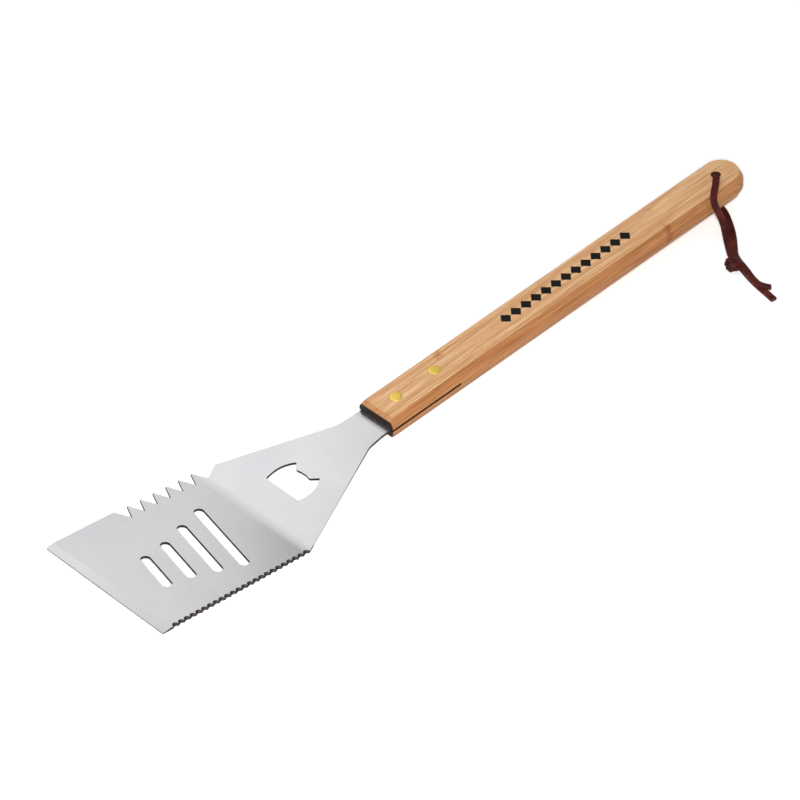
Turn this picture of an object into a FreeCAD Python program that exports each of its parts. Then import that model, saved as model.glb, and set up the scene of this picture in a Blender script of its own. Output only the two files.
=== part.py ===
import FreeCAD, Part
import math
import os
import Sketcher
from FreeCAD import Placement, Rotation, Vector

# Grill spatula: one bent stainless sheet (blade, neck and tang), a bamboo handle of three
# glued strips held by two brass cutlery rivets, and a leather thong through the butt.
# Row frame: +X from the blade to the handle's butt, +Y to the toothed edge, +Z up.
# The spatula lies as it rests on a table: on its bend and on the handle's front edge.

DIMS = [
    # alias, value (mm or degrees), what it is
    ("sheet", 1.4, "thickness of the stainless sheet"),
    ("blade_length", 96.6, "front edge to the bend, along X"),
    ("blade_half_front", 42.6, "half width at the front edge"),
    ("blade_half_bend", 41.8, "half width at the bend"),
    ("corner_radius", 0.7, "front corners"),
    ("bevel_width", 4.8, "ground bevel along the front edge"),
    ("bevel_edge", 0.45, "thickness left at the front edge"),
    ("neck_angle", 11.2, "rise of the neck above the blade"),
    ("tang_angle", 9.1, "rise of the tang and handle above the blade"),
    ("neck_length", 81.5, "bend to the start of the tang"),
    ("bend_radius", 38.0, "inside of the soft bend"),
    ("shoulder_at", 69.6, "end of the neck's straight taper"),
    ("shoulder_half", 11.7, "half width at the shoulder"),
    ("stem_half", 10.8, "half width of the stem and tang"),
    ("stem_at", 79.0, "where the stem's edges run parallel"),
    ("handle_gap", 4.3, "start of the tang to the handle's front face"),
    ("tang_in_handle", 46.5, "tang hidden in the handle"),
    ("tooth_pitch", 8.37, "saw teeth on the far edge"),
    ("tooth_start", 53.3, "first notch, ahead of the bend"),
    ("tooth_depth", 8.7, "depth of the notches"),
    ("tooth_count", 6, "whole notches, the last one is wider"),
    ("serration_pitch", 3.746, "scallops on the near edge"),
    ("serration_start", 88.3, "first scallop, ahead of the bend"),
    ("serration_radius", 2.0, "scallop radius"),
    ("serration_out", 1.95, "scallop centre outside the edge, at the underside"),
    ("serration_lean", 42, "lean of the ground scallops, degrees"),
    ("serration_count", 24, "scallops"),
    ("slot_radius", 2.76, "half width of the drain slots"),
    ("slot_lean", 12.8, "lean of the slots from the width, degrees"),
    ("slot_offset", 6.0, "slot centres, towards the near edge"),
    ("slot_first", 68.4, "smallest slot, ahead of the bend"),
    ("slot_pitch", 14.2, "slot to slot"),
    ("opener_at", 20.2, "opener's straight front edge, along the neck"),
    ("opener_offset", 0.6, "opener's middle, towards the near edge"),
    ("handle_length", 267.5, "front face to the butt"),
    ("handle_width", 24.0, "three strips of 8 mm"),
    ("handle_thick", 13.5, "thickness"),
    ("handle_chamfer", 2.2, "chamfer round both faces"),
    ("handle_slant", 4.5, "height of the chamfer along the sides and the butt"),
    ("kerf_length", 48.4, "saw kerf for the tang"),
    ("rivet_front", 14.3, "front rivet, from the front face"),
    ("rivet_rear", 41.6, "rear rivet, from the front face"),
    ("rivet_head", 3.3, "head radius"),
    ("rivet_sink", 1.2, "depth of the head recess"),
    ("rivet_proud", 0.25, "head above the wood"),
    ("rivet_tube", 2.2, "tube radius of the socket half"),
    ("rivet_pin", 1.5, "pin radius of the pin half"),
    ("rivet_play", 0.03, "radial play of each turned fit"),
    ("hang_at", 251.6, "hang hole, from the front face"),
    ("hang_radius", 2.65, "hang hole"),
    ("thong", 2.8, "leather thong across"),
]
SLOT_HALF = (10.5, 12.7, 17.6, 22.2)
KNOT_CENTRE = (176.6, -42.6, 3.4)
KNOT_RADII = (4.6, 5.2, 3.4)

# The thong is one lace: both ends leave the hang hole, meet in the knot and end bare.
# Each route goes from the middle of the hole to its bare end, above a table at z = 0.
UPPER_ROUTE = [
    (208.65, 0.0, 15.0),
    (208.40, -0.2, 24.6),
    (200.80, -5.8, 24.2),
    (194.60, -10.4, 24.6),
    (191.20, -14.6, 21.0),
    (192.60, -15.8, 13.4),
    (194.20, -18.2, 6.4),
    (191.80, -23.4, 1.9),
    (185.40, -31.6, 1.7),
    (180.00, -38.4, 2.4),
    (177.00, -45.0, 2.6),
    (174.60, -54.4, 1.7),
    (172.20, -61.6, 1.6),
    (172.00, -68.6, 1.6),
    (171.30, -75.6, 1.6),
]
LOWER_ROUTE = [
    (208.65, 0.0, 15.0),
    (208.90, -0.2, 3.4),
    (207.80, -7.6, 2.4),
    (203.60, -15.6, 1.8),
    (198.30, -23.4, 1.7),
    (191.60, -30.6, 1.7),
    (184.30, -36.9, 2.2),
    (180.00, -43.4, 3.6),
    (178.60, -49.6, 2.2),
    (176.40, -56.6, 1.6),
    (175.20, -63.2, 1.6),
    (177.20, -69.0, 1.6),
]

PARTS_DIR = "parts"
doc = FreeCAD.newDocument("GrillSpatula")
sheet = doc.addObject("Spreadsheet::Sheet", "Dims")


def fill_sheet():
    for row, (alias, value, note) in enumerate(DIMS, start=1):
        sheet.set("A%d" % row, str(value))
        sheet.setAlias("A%d" % row, alias)
        sheet.set("B%d" % row, note)
    doc.recompute()


def dim(alias):
    return float(getattr(sheet, alias))


def plane(body, role):
    return [o for o in body.Origin.OriginFeatures if o.Role == role][0]


def new_body(label):
    body = doc.addObject("PartDesign::Body", label)
    body.Label = label
    return body


def new_sketch(body, name, role, offset=None):
    sketch = body.newObject("Sketcher::SketchObject", name)
    sketch.AttachmentSupport = [(plane(body, role), "")]
    sketch.MapMode = "FlatFace"
    if offset is not None:
        sketch.AttachmentOffset = offset
    return sketch


def value_of(expression):
    """Number that a sheet expression stands for."""
    probe = sheet.evalExpression(expression)
    return float(getattr(probe, "Value", probe))


def bind(sketch, kind, args, expression):
    """One driving constraint, bound to an expression of the sheet's cells."""
    start = value_of(expression.replace("Dims.", ""))
    index = sketch.addConstraint(Sketcher.Constraint(kind, *args, start))
    sketch.setExpression("Constraints[%d]" % index, expression)


def place_point(sketch, geo, pos, x, y):
    bind(sketch, "DistanceX", (-1, 1, geo, pos), x)
    bind(sketch, "DistanceY", (-1, 1, geo, pos), y)


def polygon(sketch, points):
    """Closed polygon; each point is a pair of expressions."""
    flat = [[value_of(e.replace("Dims.", "")) for e in p] for p in points]
    base = sketch.GeometryCount
    count = len(points)
    for i in range(count):
        a, b = flat[i], flat[(i + 1) % count]
        sketch.addGeometry(Part.LineSegment(Vector(*a, 0), Vector(*b, 0)))
    for i in range(count):
        nxt = base + (i + 1) % count
        sketch.addConstraint(Sketcher.Constraint("Coincident", base + i, 2, nxt, 1))
    for i, (x, y) in enumerate(points):
        place_point(sketch, base + i, 1, x, y)


def circle(sketch, x, y, radius):
    cx, cy, r = [value_of(e.replace("Dims.", "")) for e in (x, y, radius)]
    geo = sketch.addGeometry(Part.Circle(Vector(cx, cy, 0), Vector(0, 0, 1), r))
    bind(sketch, "Radius", (geo,), radius)
    place_point(sketch, geo, 3, x, y)


def stadium(sketch, ends, radius):
    """Round-ended slot between two points, each a pair of expressions."""
    a, b = [Vector(*[value_of(e.replace("Dims.", "")) for e in p], 0) for p in ends]
    r = value_of(radius.replace("Dims.", ""))
    turn = math.atan2(b.y - a.y, b.x - a.x)
    side = Vector(-math.sin(turn), math.cos(turn), 0) * r
    up = Vector(0, 0, 1)
    half = math.pi / 2
    far = Part.ArcOfCircle(Part.Circle(b, up, r), turn - half, turn + half)
    near = Part.ArcOfCircle(Part.Circle(a, up, r), turn + half, turn + 3 * half)
    g0 = sketch.addGeometry(far)
    g1 = sketch.addGeometry(Part.LineSegment(b + side, a + side))
    g2 = sketch.addGeometry(near)
    g3 = sketch.addGeometry(Part.LineSegment(a - side, b - side))
    for one, end, two, start in ((g0, 2, g1, 1), (g1, 2, g2, 1), (g2, 2, g3, 1), (g3, 2, g0, 1)):
        sketch.addConstraint(Sketcher.Constraint("Tangent", one, end, two, start))
    for geo, point in ((g0, ends[1]), (g2, ends[0])):
        bind(sketch, "Radius", (geo,), radius)
        place_point(sketch, geo, 3, *point)


def pad(body, sketch, length):
    feature = body.newObject("PartDesign::Pad", sketch.Name + "Pad")
    feature.Profile = sketch
    feature.Midplane = True
    feature.setExpression("Length", length)
    doc.recompute()
    return feature


def pocket(body, sketch, length):
    """Pocket both ways from its sketch; it must take something away."""
    before = body.Shape.Volume
    feature = body.newObject("PartDesign::Pocket", sketch.Name + "Cut")
    feature.Profile = sketch
    feature.Midplane = True
    feature.setExpression("Length", length)
    doc.recompute()
    if not body.Shape.Volume < before - 1e-3:
        raise RuntimeError(sketch.Name + " cuts nothing")
    return feature


def pattern(body, feature, sketch, pitch, count):
    """Row of a feature along its sketch's horizontal axis."""
    row = body.newObject("PartDesign::LinearPattern", sketch.Name + "Row")
    row.Originals = [feature]
    row.Direction = (sketch, ["H_Axis"])
    row.Mode = "Spacing"
    row.setExpression("Offset", pitch)
    row.setExpression("Occurrences", count)
    body.Tip = row
    doc.recompute()
    return row


def dress(body, kind, name, edges, size_property, size):
    """Fillet or chamfer the named edges of the body's tip."""
    base = body.Tip
    feature = body.newObject("PartDesign::" + kind, name)
    feature.Base = (base, edges)
    feature.setExpression(size_property, size)
    body.Tip = feature
    doc.recompute()
    if feature.Shape.isNull() or not feature.Shape.isValid():
        raise RuntimeError("%s failed on %s: %s" % (name, edges, feature.getStatusString()))
    return feature


def slant_rim(body, name, edges):
    """Chamfer a rim of the handle's face steeply: handle_chamfer wide and handle_slant high."""
    base = body.Tip
    feature = body.newObject("PartDesign::Chamfer", name)
    feature.Base = (base, edges)
    feature.ChamferType = "Two distances"
    feature.setExpression("Size", "Dims.handle_chamfer")
    feature.setExpression("Size2", "Dims.handle_slant")
    body.Tip = feature
    for flipped in (False, True):
        feature.FlipDirection = flipped
        doc.recompute()
        if feature.Shape.isNull() or not feature.Shape.isValid():
            continue
        face_z = max((abs(f.CenterOfMass.z) for f in feature.Shape.Faces))
        wide = [f for f in feature.Shape.Faces if abs(abs(f.CenterOfMass.z) - face_z) < 1e-4]
        narrowest = min(f.optimalBoundingBox(True, False).YLength for f in wide)
        if abs(narrowest - (dim("handle_width") - 2 * dim("handle_chamfer"))) < 0.01:
            return feature
    raise RuntimeError("%s: the slanted chamfer failed" % name)


def edges_where(shape, test):
    return ["Edge%d" % (i + 1) for i, edge in enumerate(shape.Edges) if test(edge)]


def along(edge, axis):
    a, b = edge.Vertexes[0].Point, edge.Vertexes[-1].Point
    return (b - a).Length > 1e-6 and abs((b - a).normalize().dot(axis)) > 0.999


def rest_tilt():
    """Turn about Y that lays the bend and the handle's front lower edge on the table.

    Returns it with the line of the bend that touches, in the blade's frame."""
    corner = tang_point(dim("handle_gap") + dim("handle_chamfer"), -dim("handle_thick") / 2)
    radius = dim("bend_radius") + dim("sheet")
    start = radius * math.tan(math.radians(dim("neck_angle")) / 2)
    tilt = math.atan2(corner.z, corner.x)
    for _ in range(20):
        touch = Vector(-start + radius * math.sin(tilt), 0, radius * (1 - math.cos(tilt)))
        tilt = math.atan2(corner.z - touch.z, corner.x - touch.x)
    return tilt, touch


def tang_point(x, z):
    """Point of the tang's frame (along it, above its middle) in the blade's frame."""
    na, ta = math.radians(dim("neck_angle")), math.radians(dim("tang_angle"))
    root = Vector(dim("neck_length") * math.cos(na), 0, dim("neck_length") * math.sin(na))
    mid = dim("sheet") / 2 + z
    return root + Vector(x * math.cos(ta) - mid * math.sin(ta), 0, x * math.sin(ta) + mid * math.cos(ta))


def make_blade():
    body = new_body("blade")
    na, ta = "Dims.neck_angle*1deg", "Dims.tang_angle*1deg"
    tang = "(Dims.handle_gap + Dims.tang_in_handle)"
    x2, z2 = "Dims.neck_length*cos(%s)" % na, "Dims.neck_length*sin(%s)" % na
    x3, z3 = "%s + %s*cos(%s)" % (x2, tang, ta), "%s + %s*sin(%s)" % (z2, tang, ta)
    mean = "((Dims.neck_angle + Dims.tang_angle)/2*1deg)"
    miter = "cos((Dims.neck_angle - Dims.tang_angle)/2*1deg)"
    side = new_sketch(body, "SheetSide", "XZ_Plane")
    polygon(side, [
        ("-Dims.blade_length", "0"),
        ("0", "0"),
        (x2, z2),
        (x3, z3),
        ("%s - Dims.sheet*sin(%s)" % (x3, ta), "%s + Dims.sheet*cos(%s)" % (z3, ta)),
        ("%s - Dims.sheet*sin(%s)/%s" % (x2, mean, miter),
         "%s + Dims.sheet*cos(%s)/%s" % (z2, mean, miter)),
        ("-Dims.sheet*tan(%s/2)" % na, "Dims.sheet"),
        ("-Dims.blade_length", "Dims.sheet"),
    ])
    pad(body, side, "2*Dims.blade_half_front + 10")
    across = Vector(0, 1, 0)
    inside = edges_where(body.Shape, lambda e: along(e, across) and near_x(e, 0.0, 1.0)
                         and e.CenterOfMass.z > 0.5)
    dress(body, "Fillet", "BendInside", inside, "Radius", "Dims.bend_radius")
    outside = edges_where(body.Shape, lambda e: along(e, across) and near_x(e, 0.0, 0.01))
    dress(body, "Fillet", "BendOutside", outside, "Radius", "Dims.bend_radius + Dims.sheet")

    plan = new_sketch(body, "Plan", "XY_Plane")
    ahead, behind = "-Dims.blade_length - 20", "Dims.neck_length + 80"
    wide = "Dims.blade_half_front + 20"
    polygon(plan, [(ahead, wide), (behind, wide), (behind, "-(%s)" % wide), (ahead, "-(%s)" % wide)])
    half = [
        ("-Dims.blade_length", "Dims.blade_half_front"),
        ("0", "Dims.blade_half_bend"),
        ("Dims.shoulder_at*cos(%s)" % na, "Dims.shoulder_half"),
        ("Dims.stem_at*cos(%s)" % na, "Dims.stem_half"),
        ("Dims.neck_length + 70", "Dims.stem_half"),
    ]
    polygon(plan, half + [(x, "-" + y) for x, y in reversed(half)])
    pocket(body, plan, "300")

    upright = Vector(0, 0, 1)
    front = -dim("blade_length")
    corners = edges_where(body.Shape, lambda e: along(e, upright) and near_x(e, front, 1.0))
    dress(body, "Fillet", "FrontCorners", corners, "Radius", "Dims.corner_radius")
    shoulder_x = dim("shoulder_at") * math.cos(math.radians(dim("neck_angle")))
    shoulders = edges_where(body.Shape, lambda e: along(e, upright) and near_x(e, shoulder_x, 1.5))
    dress(body, "Fillet", "Shoulders", shoulders, "Radius", "15")

    bevel = new_sketch(body, "FrontBevel", "XZ_Plane")
    slope = "(Dims.sheet - Dims.bevel_edge)/Dims.bevel_width"
    polygon(bevel, [
        ("-Dims.blade_length + Dims.bevel_width", "Dims.sheet"),
        ("-Dims.blade_length + Dims.bevel_width", "Dims.sheet + 2"),
        ("-Dims.blade_length - 2", "Dims.sheet + 2"),
        ("-Dims.blade_length - 2", "Dims.bevel_edge - 2*%s" % slope),
    ])
    pocket(body, bevel, "300")
    cut_teeth(body)
    cut_serrations(body)
    cut_slots(body)
    cut_opener(body)
    cut_tang_holes(body)
    return body


def near_x(edge, x, reach):
    return abs(edge.CenterOfMass.x - x) < reach


def edge_turn():
    """Angle of the blade's long edges to X, degrees."""
    return math.degrees(math.atan2(dim("blade_half_front") - dim("blade_half_bend"), dim("blade_length")))


def cut_teeth(body):
    """Saw teeth: a row of V notches, then a wider notch that runs out on the neck."""
    offset = Placement(Vector(0, dim("blade_half_bend"), 0), Rotation(Vector(0, 0, 1), -edge_turn()))
    notch = new_sketch(body, "Notch", "XY_Plane", offset)
    start, end = "-Dims.tooth_start - 0.06", "-Dims.tooth_start + Dims.tooth_pitch + 0.06"
    polygon(notch, [(start, "0"), (start, "6"), (end, "6"), (end, "0"),
                    ("-Dims.tooth_start + Dims.tooth_pitch/2 + 0.25", "-Dims.tooth_depth"),
                    ("-Dims.tooth_start + Dims.tooth_pitch/2 - 0.25", "-Dims.tooth_depth")])
    first = pocket(body, notch, "20")
    pattern(body, first, notch, "Dims.tooth_pitch", "Dims.tooth_count")
    last = new_sketch(body, "LastNotch", "XY_Plane", offset)
    begin = "-Dims.tooth_start + Dims.tooth_count*Dims.tooth_pitch"
    polygon(last, [(begin + " - 0.06", "0"), (begin + " - 0.06", "8"), ("20", "8"), ("20", "2"),
                   (begin + " + Dims.tooth_pitch/2 + 0.9", "-Dims.tooth_depth + 0.45"),
                   (begin + " + Dims.tooth_pitch/2 + 0.2", "-Dims.tooth_depth + 0.1"),
                   (begin + " + Dims.tooth_pitch/2 - 0.35", "-Dims.tooth_depth + 0.35")])
    pocket(body, last, "20")


def cut_serrations(body):
    """Ground scallops: leaning cylinders, deeper at the top face than at the underside."""
    turn = Rotation(Vector(0, 0, 1), edge_turn()) * Rotation(Vector(1, 0, 0), -dim("serration_lean"))
    on_edge = Placement(Vector(0, -dim("blade_half_bend"), 0), turn)
    scallop = new_sketch(body, "Scallop", "XY_Plane", on_edge)
    outside = "-Dims.serration_out*cos(Dims.serration_lean*1deg)"
    circle(scallop, "-Dims.serration_start", outside, "Dims.serration_radius")
    first = pocket(body, scallop, "14")
    pattern(body, first, scallop, "Dims.serration_pitch", "Dims.serration_count")


def cut_slots(body):
    """Four leaning drain slots, longer towards the bend."""
    slots = new_sketch(body, "DrainSlots", "XY_Plane")
    for i, half in enumerate(SLOT_HALF):
        x = "-Dims.slot_first + %d*Dims.slot_pitch" % i
        dx, dy = "%s*sin(Dims.slot_lean*1deg)" % half, "%s*cos(Dims.slot_lean*1deg)" % half
        near_end = ("%s - %s" % (x, dx), "-Dims.slot_offset - %s" % dy)
        far_end = ("%s + %s" % (x, dx), "-Dims.slot_offset + %s" % dy)
        stadium(slots, [near_end, far_end], "Dims.slot_radius")
    pocket(body, slots, "20")


def cut_opener(body):
    """Bottle opener: bowed sides, two pointed rear corners and a two-lipped tongue."""
    turn = Rotation(Vector(0, 1, 0), -dim("neck_angle"))
    mouth = new_sketch(body, "Opener", "XY_Plane", Placement(Vector(0, 0, 0), turn))
    half = [(0.0, 10.9), (0.35, 11.8), (1.2, 12.15), (3.5, 12.5), (6.0, 12.68), (8.6, 12.65), (11.3, 12.1),
            (13.6, 11.3), (15.8, 10.15), (17.6, 8.75), (17.75, 8.3), (15.4, 5.9), (14.7, 5.2), (14.3, 4.4),
            (14.5, 3.4), (14.9, 2.0)]
    points = [("Dims.opener_at + %s" % s, "-Dims.opener_offset + %s" % w) for s, w in half]
    points += [("Dims.opener_at + %s" % s, "-Dims.opener_offset - %s" % w) for s, w in reversed(half)]
    polygon(mouth, points)
    pocket(body, mouth, "30")


def cut_tang_holes(body):
    origin = tang_point(dim("handle_gap"), 0)
    offset = Placement(origin, Rotation(Vector(0, 1, 0), -dim("tang_angle")))
    holes = new_sketch(body, "TangHoles", "XY_Plane", offset)
    for at in ("Dims.rivet_front", "Dims.rivet_rear"):
        circle(holes, at, "0", "Dims.rivet_tube + Dims.rivet_play")
    pocket(body, holes, "10")


def make_handle_blank():
    """The glued-up handle as one piece, before it is divided into its strips."""
    body = new_body("handle_blank")
    plan = new_sketch(body, "HandlePlan", "XY_Plane")
    half = dim("handle_width") / 2
    butt = dim("handle_length") - half
    plan.addGeometry(Part.LineSegment(Vector(0, -half, 0), Vector(butt, -half, 0)))
    round_butt = Part.Circle(Vector(butt, 0, 0), Vector(0, 0, 1), half)
    plan.addGeometry(Part.ArcOfCircle(round_butt, -math.pi / 2, math.pi / 2))
    plan.addGeometry(Part.LineSegment(Vector(butt, half, 0), Vector(0, half, 0)))
    plan.addGeometry(Part.LineSegment(Vector(0, half, 0), Vector(0, -half, 0)))
    for one, end, two, start in ((0, 2, 1, 1), (1, 2, 2, 1)):
        plan.addConstraint(Sketcher.Constraint("Tangent", one, end, two, start))
    for one, end, two, start in ((2, 2, 3, 1), (3, 2, 0, 1)):
        plan.addConstraint(Sketcher.Constraint("Coincident", one, end, two, start))
    plan.addConstraint(Sketcher.Constraint("Vertical", 3))
    bind(plan, "Radius", (1,), "Dims.handle_width/2")
    place_point(plan, 1, 3, "Dims.handle_length - Dims.handle_width/2", "0")
    bind(plan, "DistanceX", (-1, 1, 3, 1), "0")
    pad(body, plan, "Dims.handle_thick")
    top = dim("handle_thick") / 2
    for sign, name in ((1, "TopRim"), (-1, "LowRim")):
        rim = edges_where(body.Shape, lambda e: abs(e.CenterOfMass.z - sign * top) < 1e-4
                          and e.CenterOfMass.x > 1e-4)
        slant_rim(body, name, rim)
    front = edges_where(body.Shape, lambda e: abs(abs(e.CenterOfMass.z) - top) < 1e-4
                        and abs(e.CenterOfMass.x) < 1e-4)
    dress(body, "Chamfer", "FrontRims", front, "Size", "Dims.handle_chamfer")

    kerf = new_sketch(body, "Kerf", "XZ_Plane")
    polygon(kerf, [("-5", "-Dims.sheet/2"), ("Dims.kerf_length", "-Dims.sheet/2"),
                   ("Dims.kerf_length", "Dims.sheet/2"), ("-5", "Dims.sheet/2")])
    pocket(body, kerf, "60")
    holes = new_sketch(body, "Holes", "XY_Plane")
    for at in ("Dims.rivet_front", "Dims.rivet_rear"):
        circle(holes, at, "0", "Dims.rivet_tube + Dims.rivet_play")
    circle(holes, "Dims.hang_at", "0", "Dims.hang_radius")
    pocket(body, holes, "60")
    for sign, name in ((1, "TopRecess"), (-1, "LowRecess")):
        recess = new_sketch(body, name, "XY_Plane", Placement(Vector(0, 0, sign * top), Rotation()))
        for at in ("Dims.rivet_front", "Dims.rivet_rear"):
            circle(recess, at, "0", "Dims.rivet_head + Dims.rivet_play")
        pocket(body, recess, "2*Dims.rivet_sink")
    return body


def make_strips(blank, place):
    """Three 8 mm bamboo strips, side by side, each the blank's share of the width."""
    strips = []
    for i, label in enumerate(("handle_strip_near", "handle_strip_middle", "handle_strip_far")):
        slab = doc.addObject("Part::Box", label + "_slab")
        slab.setExpression("Length", "Dims.handle_length + 20")
        slab.setExpression("Width", "Dims.handle_width/3")
        slab.setExpression("Height", "Dims.handle_thick + 20")
        slab.setExpression("Placement.Base.x", "-10")
        slab.setExpression("Placement.Base.y", "-Dims.handle_width/2 + %d*Dims.handle_width/3" % i)
        slab.setExpression("Placement.Base.z", "-Dims.handle_thick/2 - 10")
        strip = doc.addObject("Part::Common", label)
        strip.Label = label
        strip.Base = blank
        strip.Tool = slab
        doc.recompute()
        strip.Placement = place
        strips.append(strip)
    return strips


def make_rivet(label, at, place, pin):
    """Half of a cutlery rivet: the pin half on top, the socket half underneath."""
    body = new_body(label)
    profile = new_sketch(body, label + "Profile", "XZ_Plane")
    seat = "(Dims.handle_thick/2 - Dims.rivet_sink)"
    crown = "(Dims.handle_thick/2 + Dims.rivet_proud)"
    rim = [("Dims.rivet_head", seat), ("Dims.rivet_head", crown + " - 0.25"),
           ("Dims.rivet_head - 0.25", crown + " - 0.08"), ("Dims.rivet_head - 1.2", crown), ("0", crown)]
    if pin:
        tip = "(-Dims.handle_thick/2 + Dims.rivet_sink + 0.6)"
        points = [("0", tip), ("Dims.rivet_pin - 0.4", tip), ("Dims.rivet_pin", tip + " + 0.4"),
                  ("Dims.rivet_pin", seat)] + rim
    else:
        bore = "Dims.rivet_pin + Dims.rivet_play"
        floor = "-" + seat
        low = [(x, "-(%s)" % z) for x, z in rim]
        mouth = seat + " - 0.05"
        points = [("0", floor + " + 0.4"), (bore, floor + " + 0.4"), (bore, mouth),
                  ("Dims.rivet_tube", mouth), ("Dims.rivet_tube", floor)] + low
    polygon(profile, points)
    turn = body.newObject("PartDesign::Revolution", label + "Turn")
    turn.Profile = profile
    turn.ReferenceAxis = (profile, ["V_Axis"])
    turn.Angle = 360
    body.Tip = turn
    doc.recompute()
    body.Placement = place * Placement(Vector(dim(at), 0, 0), Rotation())
    return body


def tube_path(route, label):
    """Straight runs joined by tangent arcs; prints the radii."""
    points = [Vector(*p) for p in route]
    edges, radii, start = [], [], points[0]
    for before, corner, after in zip(points, points[1:], points[2:]):
        into, away = corner - before, after - corner
        turn = into.getAngle(away)
        cut = 0.45 * min(into.Length, away.Length)
        radius = cut / math.tan(turn / 2)
        a = corner - Vector(into).normalize() * cut
        b = corner + Vector(away).normalize() * cut
        bisector = (Vector(away).normalize() - Vector(into).normalize()).normalize()
        centre = corner + bisector * (radius / math.cos(turn / 2))
        mid = centre + (corner - centre).normalize() * radius
        edges.append(Part.LineSegment(start, a).toShape())
        edges.append(Part.Arc(a, mid, b).toShape())
        radii.append(round(radius, 1))
        start = b
    edges.append(Part.LineSegment(start, points[-1]).toShape())
    print(label, "bend radii, mm:", radii)
    return Part.Wire(edges)


def make_thong(label, route):
    """Round lace along its route."""
    lace = doc.addObject("Part::Feature", label)
    lace.Label = label
    path = tube_path(route, label)
    radius = dim("thong") / 2
    heading = Vector(*route[1]) - Vector(*route[0])
    ring = Part.Wire([Part.Circle(Vector(*route[0]), heading, radius).toShape()])
    solid = path.makePipeShell([ring], True, False)
    expected = math.pi * radius ** 2 * path.Length
    print(label, "length %.1f mm, volume ratio %.4f" % (path.Length, solid.Volume / expected))
    if abs(solid.Volume / expected - 1) > 0.01:
        raise RuntimeError(label + " has the wrong volume")
    lace.Shape = solid
    return lace


def make_knot():
    knot = doc.addObject("Part::Ellipsoid", "thong_knot")
    knot.Label = "thong_knot"
    knot.Radius2, knot.Radius3, knot.Radius1 = KNOT_RADII
    knot.Angle1, knot.Angle2, knot.Angle3 = -90, 90, 360
    knot.Placement = Placement(Vector(*KNOT_CENTRE), Rotation())
    return knot


def exact_box(shape):
    return shape.optimalBoundingBox(True, False)


def check_and_export(pieces):
    doc.recompute()
    for obj in doc.Objects:
        if "Invalid" in obj.State or "Error" in obj.State:
            raise RuntimeError(obj.Label + " failed: " + str(obj.State))
    os.makedirs(PARTS_DIR, exist_ok=True)
    for piece in pieces:
        shape = piece.Shape
        if shape.isNull() or not shape.isValid() or len(shape.Solids) != 1:
            raise RuntimeError(piece.Label + " is not one valid solid")
        box = exact_box(shape)
        print("%-24s %9.1f mm3  x %.2f..%.2f  y %.2f..%.2f  z %.2f..%.2f" % (
            piece.Label, shape.Volume, box.XMin, box.XMax, box.YMin, box.YMax, box.ZMin, box.ZMax))
        shape.exportStep(os.path.join(PARTS_DIR, piece.Label + ".step"))


def main():
    fill_sheet()
    blade = make_blade()
    blank = make_handle_blank()
    tilt, touch = rest_tilt()
    rest = Placement(Vector(0, 0, 0), Rotation(Vector(0, 1, 0), math.degrees(tilt)))
    along_tang = Placement(tang_point(dim("handle_gap"), 0), Rotation(Vector(0, 1, 0), -dim("tang_angle")))
    front = exact_box(blade.Shape.transformed(rest.toMatrix())).XMin
    butt = exact_box(blank.Shape.transformed((rest * along_tang).toMatrix())).XMax
    rest.Base = Vector(-(front + butt) / 2, 0, -rest.multVec(touch).z)
    in_handle = rest * along_tang
    print("rest tilt %.3f deg, bend line at x %.3f z %.3f" % (math.degrees(tilt), rest.Base.x, rest.Base.z))

    blade.Placement = rest
    pieces = [blade] + make_strips(blank, in_handle)
    for at, name in (("rivet_front", "front"), ("rivet_rear", "rear")):
        pieces.append(make_rivet("rivet_%s_pin_half" % name, at, in_handle, True))
        pieces.append(make_rivet("rivet_%s_socket_half" % name, at, in_handle, False))
    pieces.append(make_thong("thong_upper_strand", UPPER_ROUTE))
    pieces.append(make_thong("thong_lower_strand", LOWER_ROUTE))
    pieces.append(make_knot())
    check_and_export(pieces)


main()
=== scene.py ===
import math
import bpy
from mathutils import Matrix, Vector


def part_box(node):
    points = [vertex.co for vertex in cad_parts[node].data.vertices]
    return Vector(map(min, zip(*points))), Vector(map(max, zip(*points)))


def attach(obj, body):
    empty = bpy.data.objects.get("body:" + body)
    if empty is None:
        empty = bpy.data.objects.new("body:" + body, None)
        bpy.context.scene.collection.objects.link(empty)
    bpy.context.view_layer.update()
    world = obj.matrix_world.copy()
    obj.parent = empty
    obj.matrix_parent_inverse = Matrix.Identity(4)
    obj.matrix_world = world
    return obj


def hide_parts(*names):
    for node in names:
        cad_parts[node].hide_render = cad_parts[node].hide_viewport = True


# Grill spatula: satin stainless blade, laminated bamboo handle, brass cutlery rivets and a
# leather thong. Metres, in the CAD frame: +X from the blade to the butt, +Z up.

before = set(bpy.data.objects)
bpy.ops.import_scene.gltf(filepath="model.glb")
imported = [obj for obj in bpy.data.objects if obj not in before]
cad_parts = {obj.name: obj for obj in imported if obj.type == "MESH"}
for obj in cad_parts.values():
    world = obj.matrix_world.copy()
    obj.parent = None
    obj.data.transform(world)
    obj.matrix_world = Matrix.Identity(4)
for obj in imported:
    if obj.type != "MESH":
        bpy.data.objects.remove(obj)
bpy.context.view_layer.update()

MM = 0.001

# The handle's own frame: from the middle of its front face along its slope.
HANDLE_PITCH = math.radians(2.111)
HANDLE_START = Vector((-42.99, 0.0, 6.665)) * MM
HANDLE_TOP = 6.75 * MM
STRIP_WIDTH = 8.0 * MM
GLUE_HALF = 0.2 * MM
KERF_HALF = 0.7 * MM
KERF_LENGTH = 48.4 * MM
HANG_AT = 251.6 * MM
HANG_RADIUS = 2.65 * MM
# How far past a wall or below the top its colour still holds.
KERF_SKIN = 0.02 * MM
SKIN = 0.1 * MM

# The stretch of the neck with polished edges, by its middle and half its length, and half the
# width between them that is left out, where the opener's edges are.
NECK_MIDDLE = -93.0 * MM
NECK_HALF = 31.0 * MM
OPENER_HALF = 13.2 * MM

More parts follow.
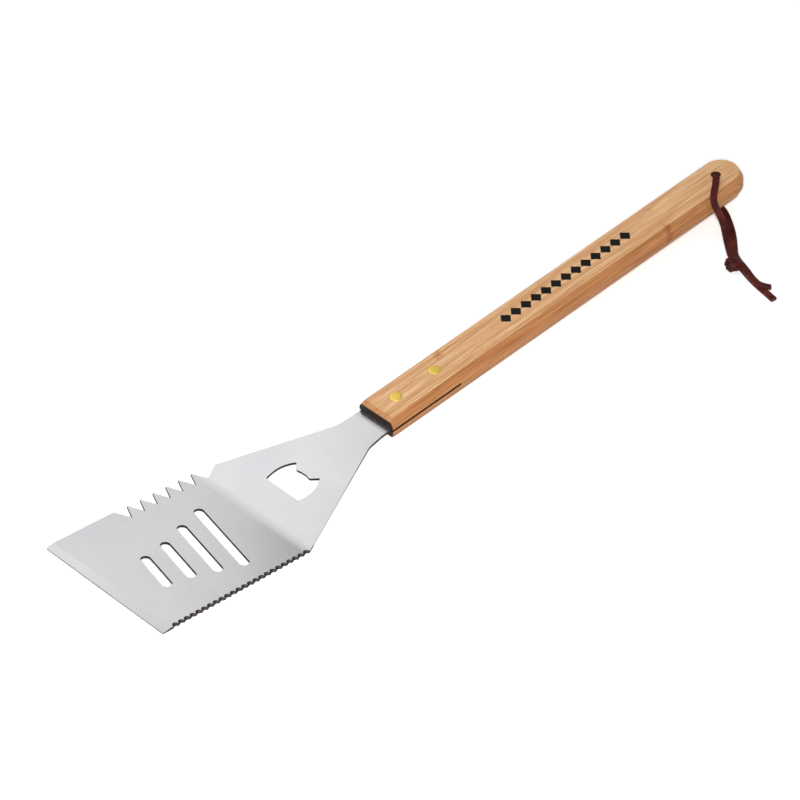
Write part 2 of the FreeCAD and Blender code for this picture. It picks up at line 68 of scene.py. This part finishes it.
# The thong, cut from 3.8 mm lace, from the middle of the hang hole to each bare end. The
# points are part.py's, moved by less than 2.5 mm so that the tails overlap as the real ones do.
LACE_WIDTH = 3.8 * MM
LACE_THICK = 2.0 * MM
UPPER_ROUTE = [
    (208.65, 0.0, 15.0),
    (208.40, -0.2, 24.6),
    (201.60, -6.2, 24.3),
    (194.00, -11.7, 24.4),
    (190.90, -14.2, 22.4),
    (193.20, -15.0, 15.4),
    (196.20, -17.0, 6.8),
    (194.00, -20.8, 2.2),
    (187.60, -28.6, 1.8),
    (181.00, -36.8, 2.4),
    (178.60, -46.6, 2.4),
    (175.80, -55.0, 1.7),
    (174.20, -61.8, 1.6),
    (173.00, -68.8, 1.6),
    (171.60, -75.2, 1.6),
]
LOWER_ROUTE = [
    (208.65, 0.0, 15.0),
    (208.90, -0.2, 3.4),
    (207.60, -7.4, 2.4),
    (202.70, -15.6, 1.8),
    (196.60, -23.6, 1.7),
    (190.40, -30.2, 1.7),
    (183.90, -36.4, 2.2),
    (180.00, -43.4, 3.6),
    (177.80, -50.0, 3.6),
    (174.60, -57.2, 3.6),
    (174.00, -63.8, 3.0),
    (178.00, -67.4, 1.8),
]
# Which way the lace's flat side faces at each point, from the hole to the bare end.
UPPER_FACES = [
    (-0.6, -0.6, 0.2), (-0.6, -0.6, 0.2), (-0.1, -0.1, 1), (0.1, -0.3, 1), (-0.1, -1, 0.6),
    (-0.4, -1, 0.3), (-0.5, -0.8, 0.5), (-0.2, -0.2, 1), (0, 0, 1), (0, 0, 1), (0, 0, 1),
    (0.2, 0, 1), (0.2, 0, 1), (0, 0, 1), (0, 0, 1),
]
LOWER_FACES = [
    (-0.6, -0.6, 0.2), (0.6, 0.6, -0.2), (0, 0, -1), (0, 0, -1), (0, 0, -1), (0, 0, -1),
    (0, 0, -1), (0, 0, -1), (0.1, 0, -1), (0, 0, -1), (-0.2, 0, -1), (-0.3, 0.1, -1),
]


def srgb(code):
    """The linear colour of an sRGB hex value."""
    parts = [int(code[i:i + 2], 16) / 255 for i in (1, 3, 5)]
    linear = [c / 12.92 if c <= 0.04045 else ((c + 0.055) / 1.055) ** 2.4 for c in parts]
    return (*linear, 1.0)


def add_node(tree, kind, links=None, stops=None, **settings):
    """A node with its settings. links gives a socket, by its identifier, a value or a source."""
    node = tree.nodes.new(kind)
    for name, value in settings.items():
        setattr(node, name, value)
    sockets = {socket.identifier: socket for socket in node.inputs}
    for name, value in (links or {}).items():
        if isinstance(value, bpy.types.NodeSocket):
            tree.links.new(value, sockets[name])
        else:
            sockets[name].default_value = value
    for place, (at, colour) in enumerate(stops or ()):
        ramp = node.color_ramp.elements
        stop = ramp[place] if place < 2 else ramp.new(at)
        stop.position = at
        stop.color = colour
    return node


def new_material(name):
    """A material with only its output, and its node tree."""
    material = bpy.data.materials.new(name)
    material.use_nodes = True
    tree = material.node_tree
    tree.nodes.clear()
    return material, tree, tree.nodes.new("ShaderNodeOutputMaterial")


def finish_material(tree, output, shader):
    tree.links.new(shader.outputs["BSDF"], output.inputs["Surface"])


# ---------------------------------------------------------------- camera and light

def add_camera():
    """A long lens, above the near side of the blade, looking down at 41 degrees."""
    data = bpy.data.cameras.new("studio_camera")
    data.lens = 191.54
    data.sensor_width = 36.0
    data.clip_end = 20.0
    camera = bpy.data.objects.new("studio_camera", data)
    place = Matrix.Translation((-1.134726, -1.186343, 1.413401))
    turn = Matrix.Rotation(math.radians(-43.06), 4, "Z")
    tilt = Matrix.Rotation(math.radians(90.0 - 40.84), 4, "X")
    roll = Matrix.Rotation(math.radians(-1.78), 4, "Z")
    camera.matrix_world = place @ turn @ tilt @ roll
    bpy.context.collection.objects.link(camera)
    bpy.context.scene.camera = camera


def add_softbox(name, place, aim, size, power):
    """A square softbox at a place, turned to shine at a point."""
    data = bpy.data.lights.new(name, "AREA")
    data.shape = "SQUARE"
    data.size = size
    data.energy = power
    light = bpy.data.objects.new(name, data)
    light.location = place
    aim_line = Vector(aim) - Vector(place)
    light.rotation_euler = aim_line.to_track_quat("-Z", "Y").to_euler()
    light.visible_camera = False
    bpy.context.collection.objects.link(light)


def add_studio():
    """A white table in a bright even room. A high softbox behind the object lights the neck and
    the handle, a low one the front of the blade, a third one the ground bevel, and one by the
    camera fills the shadows."""
    bpy.ops.object.select_all(action="DESELECT")
    bpy.ops.mesh.primitive_plane_add(size=8.0, location=(0, 0, 0))
    floor = bpy.context.object
    floor.name = "studio_floor"
    material, tree, output = new_material("matt_white_paper")
    paper = add_node(tree, "ShaderNodeBsdfPrincipled", {"Base Color": srgb("#FAFAFA"), "Roughness": 0.9,
                                                       "Specular IOR Level": 0.1})
    finish_material(tree, output, paper)
    floor.data.materials.append(material)
    world = bpy.data.worlds.new("studio_room")
    world.use_nodes = True
    world.node_tree.nodes["Background"].inputs["Color"].default_value = srgb("#FFFFFF")
    world.node_tree.nodes["Background"].inputs["Strength"].default_value = 0.42
    bpy.context.scene.world = world
    bpy.context.scene.view_settings.view_transform = "Standard"
    add_softbox("high_softbox", (0.05, 0.80, 1.35), (-0.05, 0.0, 0.0), 1.2, 0.95)
    add_softbox("low_softbox", (0.05, 0.33, 0.32), (-0.20, 0.0, 0.0), 0.3, 0.185)
    add_softbox("bevel_softbox", (-0.40, 0.66, 0.98), (-0.22, 0.0, 0.01), 0.4, 1.1)
    add_softbox("front_softbox", (-1.09, -1.14, 1.36), (0.0, 0.0, 0.0), 0.35, 58.0)


# ---------------------------------------------------------------- materials

def satin_stainless():
    """Stainless steel sheet, belt ground to a fine satin: a soft grey sheen without clear
    reflections. Sheared and ground edges are duller and darker than the faces."""
    material, tree, output = new_material("satin_stainless_steel")
    place = add_node(tree, "ShaderNodeTexCoord")
    # belt marks run across the sheet, about 0.3 mm apart
    marks_at = add_node(tree, "ShaderNodeVectorMath", {"Vector": place.outputs["Object"],
                                                       "Vector_001": (3000.0, 60.0, 3000.0)},
                        operation="MULTIPLY")
    marks = add_node(tree, "ShaderNodeTexNoise", {"Vector": marks_at.outputs["Vector"],
                                                  "Scale": 1.0, "Detail": 3.0})
    # slow clouding of the mill finish, tens of millimetres wide
    cloud = add_node(tree, "ShaderNodeTexNoise", {"Vector": place.outputs["Object"],
                                                  "Scale": 28.0, "Detail": 2.0})
    tone = add_node(tree, "ShaderNodeValToRGB", {"Fac": cloud.outputs["Fac"]},
                    stops=((0.3, srgb("#CFCFD2")), (0.7, srgb("#D6D6D8"))))
    # faces point up or down; what leans more than 20 to 30 degrees is a cut edge
    upright = add_node(tree, "ShaderNodeSeparateXYZ", {"Vector": place.outputs["Normal"]})
    steep = add_node(tree, "ShaderNodeMath", {"Value": upright.outputs["Z"]}, operation="ABSOLUTE")
    edge = add_node(tree, "ShaderNodeMapRange", {"Value": steep.outputs["Value"], "From Min": 0.86,
                                                 "From Max": 0.94, "To Min": 1.0, "To Max": 0.0})
    # the neck's long edges are polished, more and more towards the bend
    at = add_node(tree, "ShaderNodeSeparateXYZ", {"Vector": place.outputs["Object"]})
    polished = add_node(tree, "ShaderNodeMapRange", {"Value": at.outputs["X"],
                                                     "From Min": NECK_MIDDLE,
                                                     "From Max": NECK_MIDDLE + NECK_HALF,
                                                     "To Min": 1.0, "To Max": 0.0})
    aside = add_node(tree, "ShaderNodeMath", {"Value": at.outputs["Y"]}, operation="ABSOLUTE")
    outer = add_node(tree, "ShaderNodeMath", {"Value": aside.outputs["Value"],
                                              "Value_001": OPENER_HALF}, operation="GREATER_THAN")
    on_neck = add_node(tree, "ShaderNodeMath", {"Value": at.outputs["X"],
                                                "Value_001": NECK_MIDDLE, "Value_002": NECK_HALF},
                       operation="COMPARE")
    shiny = add_node(tree, "ShaderNodeMath", {"Value": on_neck.outputs["Value"],
                                              "Value_001": outer.outputs["Value"]},
                     operation="MULTIPLY")
    share = add_node(tree, "ShaderNodeMath", {"Value": shiny.outputs["Value"],
                                              "Value_001": polished.outputs["Result"]},
                     operation="MULTIPLY")
    cut = add_node(tree, "ShaderNodeMix", {"Factor_Float": share.outputs["Value"],
                                           "A_Color": srgb("#403B38"), "B_Color": srgb("#B4B2B0")},
                   data_type="RGBA")
    colour = add_node(tree, "ShaderNodeMix", {"Factor_Float": edge.outputs["Result"],
                                              "A_Color": tone.outputs["Color"],
                                              "B_Color": cut.outputs[2]}, data_type="RGBA")
    rough = add_node(tree, "ShaderNodeMapRange", {"Value": marks.outputs["Fac"],
                                                  "From Min": 0.3, "From Max": 0.7,
                                                  "To Min": 0.25, "To Max": 0.28})
    duller = add_node(tree, "ShaderNodeMath", {"Value": edge.outputs["Result"], "Value_001": 0.4,
                                               "Value_002": rough.outputs["Result"]},
                      operation="MULTIPLY_ADD")
    bump = add_node(tree, "ShaderNodeBump", {"Height": marks.outputs["Fac"], "Strength": 0.008,
                                             "Distance": 0.0002})
    shader = add_node(tree, "ShaderNodeBsdfPrincipled", {
        "Base Color": colour.outputs[2],
        "Metallic": 1.0, "Roughness": duller.outputs["Value"], "Normal": bump.outputs["Normal"]})
    finish_material(tree, output, shader)
    return material


def bamboo(name, pale, warm, dark, seed, scar_at):
    """Laminated bamboo, planed and oiled: straight fibre bundles about 0.5 mm wide in a warm
    tan, with painted shade darkening the slanted sides. scar_at is its node scar: along the
    handle, across it, and half its reach across. The front end is dark, and the top is printed."""
    material, tree, output = new_material(name)
    place = add_node(tree, "ShaderNodeTexCoord")
    along = add_node(tree, "ShaderNodeMapping", {"Vector": place.outputs["Object"],
                                                 "Location": HANDLE_START,
                                                 "Rotation": (0.0, -HANDLE_PITCH, 0.0)},
                     vector_type="TEXTURE")
    axes = add_node(tree, "ShaderNodeSeparateXYZ", {"Vector": along.outputs["Vector"]})
    shifted = add_node(tree, "ShaderNodeVectorMath", {"Vector": along.outputs["Vector"],
                                                      "Vector_001": (seed, seed * 0.37, seed * 0.61)},
                       operation="ADD")
    # fibre bundles 0.5 mm across and some 30 mm long, dark dashes 0.3 mm by 9 mm between
    # them, and broad streaks of tone 2 mm across and some 65 mm long
    grain = {}
    for layer, per_metre, detail in (("fibre", (30.0, 1900.0, 1900.0), 3.0),
                                     ("dash", (110.0, 3200.0, 3200.0), 1.0),
                                     ("streak", (15.0, 430.0, 430.0), 2.0)):
        stretched = add_node(tree, "ShaderNodeVectorMath", {"Vector": shifted.outputs["Vector"],
                                                            "Vector_001": per_metre}, operation="MULTIPLY")
        grain[layer] = add_node(tree, "ShaderNodeTexNoise", {"Vector": stretched.outputs["Vector"],
                                                             "Scale": 1.0, "Detail": detail})
    tone = add_node(tree, "ShaderNodeValToRGB", {"Fac": grain["streak"].outputs["Fac"]},
                    stops=((0.36, warm), (0.60, pale)))
    line = add_node(tree, "ShaderNodeMapRange", {"Value": grain["fibre"].outputs["Fac"], "From Min": 0.36,
                                                 "From Max": 0.58, "To Min": 0.75, "To Max": 0.0})
    lined = add_node(tree, "ShaderNodeMix", {"Factor_Float": line.outputs["Result"],
                                             "A_Color": tone.outputs["Color"], "B_Color": dark},
                     data_type="RGBA")
    dash = add_node(tree, "ShaderNodeMapRange", {"Value": grain["dash"].outputs["Fac"], "From Min": 0.60,
                                                 "From Max": 0.74, "To Min": 0.0, "To Max": 0.6})
    dashed = add_node(tree, "ShaderNodeMix", {"Factor_Float": dash.outputs["Result"],
                                              "A_Color": lined.outputs[2], "B_Color": srgb("#87592F")},
                      data_type="RGBA")
    scar = node_scar(tree, axes, shifted, scar_at)
    scarred = add_node(tree, "ShaderNodeMix", {"Factor_Float": scar.outputs["Value"],
                                               "A_Color": dashed.outputs[2], "B_Color": srgb("#93552F")},
                       data_type="RGBA")
    # painted shade: the long sides are coloured darker and more orange than the top and the
    # rounded butt, and the chamfer on the front end is darkened the same way
    facing = add_node(tree, "ShaderNodeSeparateXYZ", {"Vector": place.outputs["Normal"]})
    sideways = add_node(tree, "ShaderNodeMath", {"Value": facing.outputs["Y"]}, operation="ABSOLUTE")
    deep = add_node(tree, "ShaderNodeMapRange", {"Value": sideways.outputs["Value"], "From Min": 0.35,
                                                 "From Max": 0.85, "To Min": 0.0, "To Max": 1.0})
    ahead = add_node(tree, "ShaderNodeMapRange", {"Value": facing.outputs["X"], "From Min": -0.7,
                                                  "From Max": -0.4, "To Min": 0.75, "To Max": 0.0})
    painted_side_shade = add_node(tree, "ShaderNodeMath", {"Value": deep.outputs["Result"],
                                               "Value_001": ahead.outputs["Result"]},
                      operation="MAXIMUM")
    side_shaded = add_node(tree, "ShaderNodeMix", {"Factor_Float": painted_side_shade.outputs["Value"],
                                             "A_Color": scarred.outputs[2], "B_Color": srgb("#CFB59B")},
                     data_type="RGBA", blend_type="MULTIPLY")
    # glue lines between the strips, 0.2 mm to each side of a joint
    strip_at = add_node(tree, "ShaderNodeMath", {"Value": axes.outputs["Y"]}, operation="ABSOLUTE")
    glue_near = add_node(tree, "ShaderNodeMath", {"Value": strip_at.outputs["Value"],
                                                  "Value_001": STRIP_WIDTH / 2, "Value_002": GLUE_HALF},
                         operation="COMPARE")
    glue = add_node(tree, "ShaderNodeMath", {"Value": glue_near.outputs["Value"], "Value_001": 0.3},
                    operation="MULTIPLY")
    glued = add_node(tree, "ShaderNodeMix", {"Factor_Float": glue.outputs["Value"],
                                             "A_Color": side_shaded.outputs[2], "B_Color": dark},
                     data_type="RGBA")
    # painted shade: the saw kerf and the hang hole are coloured dark inside
    in_kerf = add_node(tree, "ShaderNodeMath", {"Value": axes.outputs["Z"], "Value_001": 0.0,
                                                "Value_002": KERF_HALF + KERF_SKIN}, operation="COMPARE")
    by_kerf = add_node(tree, "ShaderNodeMath", {"Value": axes.outputs["X"],
                                                "Value_001": KERF_LENGTH + SKIN}, operation="LESS_THAN")
    kerf = add_node(tree, "ShaderNodeMath", {"Value": in_kerf.outputs["Value"],
                                             "Value_001": by_kerf.outputs["Value"]}, operation="MULTIPLY")
    from_hole = add_node(tree, "ShaderNodeVectorMath", {"Vector": along.outputs["Vector"],
                                                        "Vector_001": (HANG_AT, 0.0, 0.0)},
                         operation="SUBTRACT")
    spoke = add_node(tree, "ShaderNodeVectorMath", {"Vector": from_hole.outputs["Vector"],
                                                    "Vector_001": (1.0, 1.0, 0.0)}, operation="MULTIPLY")
    reach = add_node(tree, "ShaderNodeVectorMath", {"Vector": spoke.outputs["Vector"]}, operation="LENGTH")
    hole = add_node(tree, "ShaderNodeMath", {"Value": reach.outputs["Value"],
                                             "Value_001": HANG_RADIUS + SKIN}, operation="LESS_THAN")
    recess_shade = add_node(tree, "ShaderNodeMath", {"Value": kerf.outputs["Value"],
                                              "Value_001": hole.outputs["Value"]}, operation="MAXIMUM")
    recess_shaded = add_node(tree, "ShaderNodeMix", {"Factor_Float": recess_shade.outputs["Value"],
                                              "A_Color": glued.outputs[2], "B_Color": srgb("#3A2417")},
                      data_type="RGBA")
    ink = printed_row(tree, axes)
    printed = add_node(tree, "ShaderNodeMix", {"Factor_Float": ink.outputs["Value"],
                                               "A_Color": recess_shaded.outputs[2], "B_Color": srgb("#070605")},
                       data_type="RGBA")
    # end grain of the front face, nearly black
    front = add_node(tree, "ShaderNodeMapRange", {"Value": axes.outputs["X"], "From Min": 0.0001,
                                                  "From Max": 0.0004, "To Min": 1.0, "To Max": 0.0})
    front_darkened = add_node(tree, "ShaderNodeMix", {"Factor_Float": front.outputs["Result"],
                                              "A_Color": printed.outputs[2], "B_Color": srgb("#1E130B")},
                      data_type="RGBA")
    rough = add_node(tree, "ShaderNodeMapRange", {"Value": grain["fibre"].outputs["Fac"], "From Min": 0.3,
                                                  "From Max": 0.7, "To Min": 0.62, "To Max": 0.50})
    bump = add_node(tree, "ShaderNodeBump", {"Height": grain["fibre"].outputs["Fac"], "Strength": 0.25,
                                             "Distance": 0.0002})
    shader = add_node(tree, "ShaderNodeBsdfPrincipled", {
        "Base Color": front_darkened.outputs[2], "Roughness": rough.outputs["Result"], "IOR": 1.45,
        "Specular IOR Level": 0.22, "Normal": bump.outputs["Normal"]})
    finish_material(tree, output, shader)
    return material


def node_scar(tree, axes, shifted, scar_at):
    """How much of a bamboo node's scar shows: an uneven patch about 5 mm long."""
    middle, across, reach = scar_at
    wave = add_node(tree, "ShaderNodeTexNoise", {"Vector": shifted.outputs["Vector"], "Scale": 420.0,
                                                 "Detail": 3.0})
    offs = []
    for axis, at, sway in (("X", middle, 0.008), ("Y", across, 0.004)):
        swayed = add_node(tree, "ShaderNodeMath", {"Value": wave.outputs["Fac"], "Value_001": sway,
                                                   "Value_002": axes.outputs[axis]},
                          operation="MULTIPLY_ADD")
        off = add_node(tree, "ShaderNodeMath", {"Value": swayed.outputs["Value"],
                                                "Value_001": at + sway / 2}, operation="SUBTRACT")
        offs.append(add_node(tree, "ShaderNodeMath", {"Value": off.outputs["Value"]}, operation="ABSOLUTE"))
    lengthways = add_node(tree, "ShaderNodeMapRange", {"Value": offs[0].outputs["Value"],
                                                       "From Min": 0.0004, "From Max": 0.0026,
                                                       "To Min": 0.6, "To Max": 0.0})
    sideways = add_node(tree, "ShaderNodeMapRange", {"Value": offs[1].outputs["Value"],
                                                     "From Min": reach * 0.6, "From Max": reach,
                                                     "To Min": 1.0, "To Max": 0.0})
    return add_node(tree, "ShaderNodeMath", {"Value": lengthways.outputs["Result"],
                                             "Value_001": sideways.outputs["Result"]}, operation="MULTIPLY")


def printed_row(tree, axes):
    """How much ink there is: a plain row of thirteen lozenges on the top."""
    start, length, count = 90.5 * MM, 96.0 * MM, 13
    middle, half_high, half_long = 1.1 * MM, 3.8 * MM, 3.5 * MM
    pitch = length / count
    from_start = add_node(tree, "ShaderNodeMath", {"Value": axes.outputs["X"], "Value_001": start},
                          operation="SUBTRACT")
    # distance from the lozenges' middles, along and across, as shares of their half sizes
    to_gap = add_node(tree, "ShaderNodeMath", {"Value": from_start.outputs["Value"],
                                               "Value_001": pitch / 2}, operation="PINGPONG")
    share_long = add_node(tree, "ShaderNodeMapRange", {"Value": to_gap.outputs["Value"],
                                                       "From Min": pitch / 2 - half_long,
                                                       "From Max": pitch / 2,
                                                       "To Min": 1.0, "To Max": 0.0}, clamp=False)
    across = add_node(tree, "ShaderNodeMath", {"Value": axes.outputs["Y"], "Value_001": middle},
                      operation="SUBTRACT")
    aside = add_node(tree, "ShaderNodeMath", {"Value": across.outputs["Value"]}, operation="ABSOLUTE")
    both = add_node(tree, "ShaderNodeMath", {"Value": aside.outputs["Value"],
                                             "Value_001": 1.0 / half_high,
                                             "Value_002": share_long.outputs["Result"]},
                    operation="MULTIPLY_ADD")
    lozenge = add_node(tree, "ShaderNodeMapRange", {"Value": both.outputs["Value"], "From Min": 0.97,
                                                    "From Max": 1.03, "To Min": 1.0, "To Max": 0.0})
    within = add_node(tree, "ShaderNodeMath", {"Value": from_start.outputs["Value"],
                                               "Value_001": length / 2, "Value_002": length / 2},
                      operation="COMPARE")
    on_top = add_node(tree, "ShaderNodeMath", {"Value": axes.outputs["Z"],
                                               "Value_001": HANDLE_TOP - SKIN},
                      operation="GREATER_THAN")
    where = add_node(tree, "ShaderNodeMath", {"Value": within.outputs["Value"],
                                              "Value_001": on_top.outputs["Value"]},
                     operation="MULTIPLY")
    return add_node(tree, "ShaderNodeMath", {"Value": lozenge.outputs["Result"],
                                             "Value_001": where.outputs["Value"]},
                    operation="MULTIPLY")


def turned_brass():
    """Brass, turned and lightly buffed: warm yellow, with a soft sheen and slight dulling."""
    material, tree, output = new_material("turned_brass")
    place = add_node(tree, "ShaderNodeTexCoord")
    # dull patches about 1 mm wide
    patch = add_node(tree, "ShaderNodeTexNoise", {"Vector": place.outputs["Object"],
                                                  "Scale": 900.0, "Detail": 3.0})
    tone = add_node(tree, "ShaderNodeValToRGB", {"Fac": patch.outputs["Fac"]},
                    stops=((0.3, srgb("#FFD95E")), (0.7, srgb("#FFE072"))))
    rough = add_node(tree, "ShaderNodeMapRange", {"Value": patch.outputs["Fac"],
                                                  "From Min": 0.3, "From Max": 0.7,
                                                  "To Min": 0.42, "To Max": 0.3})
    shader = add_node(tree, "ShaderNodeBsdfPrincipled", {
        "Base Color": tone.outputs["Color"], "Metallic": 1.0, "Roughness": rough.outputs["Result"]})
    finish_material(tree, output, shader)
    return material


def waxed_leather(name, deep, light):
    """Cowhide lace, dyed and waxed: dark oxblood with a dry sheen on its grain side."""
    material, tree, output = new_material(name)
    place = add_node(tree, "ShaderNodeTexCoord")
    # hair-cell grain about 0.35 mm across
    grain = add_node(tree, "ShaderNodeTexNoise", {"Vector": place.outputs["Object"],
                                                  "Scale": 2800.0, "Detail": 3.0})
    # rubbed patches 8 mm wide
    rub = add_node(tree, "ShaderNodeTexNoise", {"Vector": place.outputs["Object"],
                                                "Scale": 125.0, "Detail": 3.0})
    tone = add_node(tree, "ShaderNodeValToRGB", {"Fac": rub.outputs["Fac"]},
                    stops=((0.35, deep), (0.68, light)))
    speck = add_node(tree, "ShaderNodeMapRange", {"Value": grain.outputs["Fac"],
                                                  "From Min": 0.35, "From Max": 0.6,
                                                  "To Min": 0.35, "To Max": 0.0})
    colour = add_node(tree, "ShaderNodeMix", {"Factor_Float": speck.outputs["Result"],
                                              "A_Color": tone.outputs["Color"], "B_Color": srgb("#240C0A")},
                      data_type="RGBA")
    bump = add_node(tree, "ShaderNodeBump", {"Height": grain.outputs["Fac"], "Strength": 0.35,
                                             "Distance": 0.0002})
    shader = add_node(tree, "ShaderNodeBsdfPrincipled", {
        "Base Color": colour.outputs[2], "Roughness": 0.55, "IOR": 1.45,
        "Specular IOR Level": 0.12, "Sheen Weight": 0.03, "Sheen Roughness": 0.4,
        "Normal": bump.outputs["Normal"]})
    finish_material(tree, output, shader)
    return material


# ---------------------------------------------------------------- thong

def route_line(name, route):
    """The smooth line of a route: a NURBS spline with its points as control points."""
    data = bpy.data.curves.new(name, "CURVE")
    data.dimensions = "3D"
    data.resolution_u = 10
    spline = data.splines.new("NURBS")
    spline.points.add(len(route) - 1)
    for point, at in zip(spline.points, route):
        point.co = (*(Vector(at) * MM), 1.0)
    spline.order_u = 3
    spline.use_endpoint_u = True
    curve = bpy.data.objects.new(name, data)
    bpy.context.collection.objects.link(curve)
    bpy.context.view_layer.update()
    seen = bpy.data.meshes.new_from_object(curve.evaluated_get(bpy.context.evaluated_depsgraph_get()))
    line = [vertex.co.copy() for vertex in seen.vertices]
    bpy.data.meshes.remove(seen)
    bpy.data.objects.remove(curve)
    return line


def lace_section(width, thick):
    """The lace's section: a rectangle with its corners rounded to about a third of its thickness."""
    round_off = thick * 0.36
    corners = []
    for corner, (side, top) in enumerate(((1, 1), (-1, 1), (-1, -1), (1, -1))):
        for step in range(4):
            turn = math.radians(90 * corner + 30 * step)
            corners.append((side * (width / 2 - round_off) + round_off * math.cos(turn),
                            top * (thick / 2 - round_off) + round_off * math.sin(turn)))
    return corners


def lace_mesh(name, line, faces, width, thick, leather, cut_leather):
    """A flat lace that follows a line and faces, at each stage, the way faces says."""
    section = lace_section(width, thick)
    rings = []
    for place, at in enumerate(line):
        before = line[max(place - 1, 0)]
        after = line[min(place + 1, len(line) - 1)]
        run = (after - before).normalized()
        stage = place / (len(line) - 1) * (len(faces) - 1)
        low = min(int(stage), len(faces) - 2)
        face = Vector(faces[low]).normalized().lerp(Vector(faces[low + 1]).normalized(), stage - low)
        side = run.cross(face).normalized()
        up = side.cross(run)
        rings.append([at + side * a + up * b for a, b in section])
    count = len(section)
    points = [point for ring in rings for point in ring]
    quads = []
    for ring in range(len(rings) - 1):
        for corner in range(count):
            follow = (corner + 1) % count
            quads.append((ring * count + corner, ring * count + follow,
                          (ring + 1) * count + follow, (ring + 1) * count + corner))
    last = (len(rings) - 1) * count
    quads.append(tuple(reversed(range(count))))
    quads.append(tuple(range(last, last + count)))
    mesh = bpy.data.meshes.new(name)
    mesh.from_pydata(points, [], quads)
    mesh.materials.append(leather)
    mesh.materials.append(cut_leather)
    for face in mesh.polygons[-2:]:
        face.material_index = 1
    piece = bpy.data.objects.new(name, mesh)
    bpy.context.collection.objects.link(piece)
    bpy.ops.object.select_all(action="DESELECT")
    piece.select_set(True)
    bpy.context.view_layer.objects.active = piece
    bpy.ops.object.mode_set(mode="EDIT")
    bpy.ops.mesh.select_all(action="SELECT")
    bpy.ops.mesh.normals_make_consistent(inside=False)
    bpy.ops.object.mode_set(mode="OBJECT")
    bpy.ops.object.shade_smooth_by_angle(angle=math.radians(50))
    return piece


def add_thong(leather, cut_leather):
    """Both strands of the lace and the overhand knot that ties them."""
    low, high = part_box("thong_knot")
    knot = add_knot((low + high) / 2, leather, cut_leather)
    strands = (("thong_lace_upper", "thong_upper_strand", UPPER_ROUTE, UPPER_FACES, [knot]),
               ("thong_lace_lower", "thong_lower_strand", LOWER_ROUTE, LOWER_FACES, []))
    for name, node, route, faces, on_it in strands:
        line = route_line(name + "_line", route)
        lace = lace_mesh(name, line, faces, LACE_WIDTH, LACE_THICK, leather, cut_leather)
        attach(lace, "root")
        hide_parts(node)


def add_knot(middle, leather, cut_leather):
    """The overhand knot: the lace turns twice about itself and tucks under."""
    # along the lace, across it on the table, and up, from the knot's middle, in mm
    route = [(-2.0, -1.6, -0.4), (-2.4, -3.4, 0.6), (-1.4, -3.2, 2.6), (-0.2, -0.4, 3.4), (0.8, 2.8, 2.4),
             (1.2, 4.0, 0.0), (1.4, 2.4, -1.9), (0.4, -1.2, -2.0), (1.4, -3.8, -0.8), (2.6, -3.4, 1.4),
             (2.6, -0.4, 2.8), (0.6, 2.2, 2.6), (-2.4, 3.4, 0.8), (-2.2, 2.0, -1.4), (-0.6, 0.2, -1.6)]
    along = Vector((-0.40, -0.917, 0.0)).normalized()
    up = Vector((0, 0, 1))
    across = up.cross(along)
    points = [(middle / MM + along * a + across * b + up * c) for a, b, c in route]
    line = route_line("knot_line", points)
    # its flat side faces outwards, as taken at every sixth point
    out = [(at - middle).normalized() for at in line[::6]]
    knot = lace_mesh("thong_overhand_knot", line, [tuple(way) for way in out], LACE_WIDTH, LACE_THICK,
                     leather, cut_leather)
    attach(knot, "root")
    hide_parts("thong_knot")
    return knot


# ---------------------------------------------------------------- the spatula

def dress(node, material):
    """Gives a CAD node its finish."""
    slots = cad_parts[node].material_slots
    for place in slots:
        place.material = material


add_camera()
leather = waxed_leather("waxed_oxblood_leather", srgb("#2E0B08"), srgb("#541E19"))
cut_leather = waxed_leather("cut_leather_edge", srgb("#3E1C18"), srgb("#5C2E28"))
add_thong(leather, cut_leather)
add_studio()

dress("blade", satin_stainless())
# Each strip: its node, material and pale, warm and dark tones, a seed for its grain, and its
# node scar. The middle strip's scar lies past the butt, so that none shows.
STRIPS = (
    ("handle_strip_near", "bamboo_near_strip", "#CBA57D", "#BC8F66", "#98693F", 3.1,
     (203 * MM, -10.5 * MM, 3.0 * MM)),
    ("handle_strip_middle", "bamboo_middle_strip", "#CDA982", "#BF946A", "#9B6E46", 7.7,
     (330 * MM, 0.0, 3.0 * MM)),
    ("handle_strip_far", "bamboo_far_strip", "#CBA67E", "#BB8E67", "#98693F", 12.9,
     (51 * MM, 6.5 * MM, 3.5 * MM)),
)
for node, name, pale, warm, dark, seed, scar_at in STRIPS:
    dress(node, bamboo(name, srgb(pale), srgb(warm), srgb(dark), seed, scar_at))
brass = turned_brass()
for place in ("front", "rear"):
    for half in ("pin", "socket"):
        dress(f"rivet_{place}_{half}_half", brass)
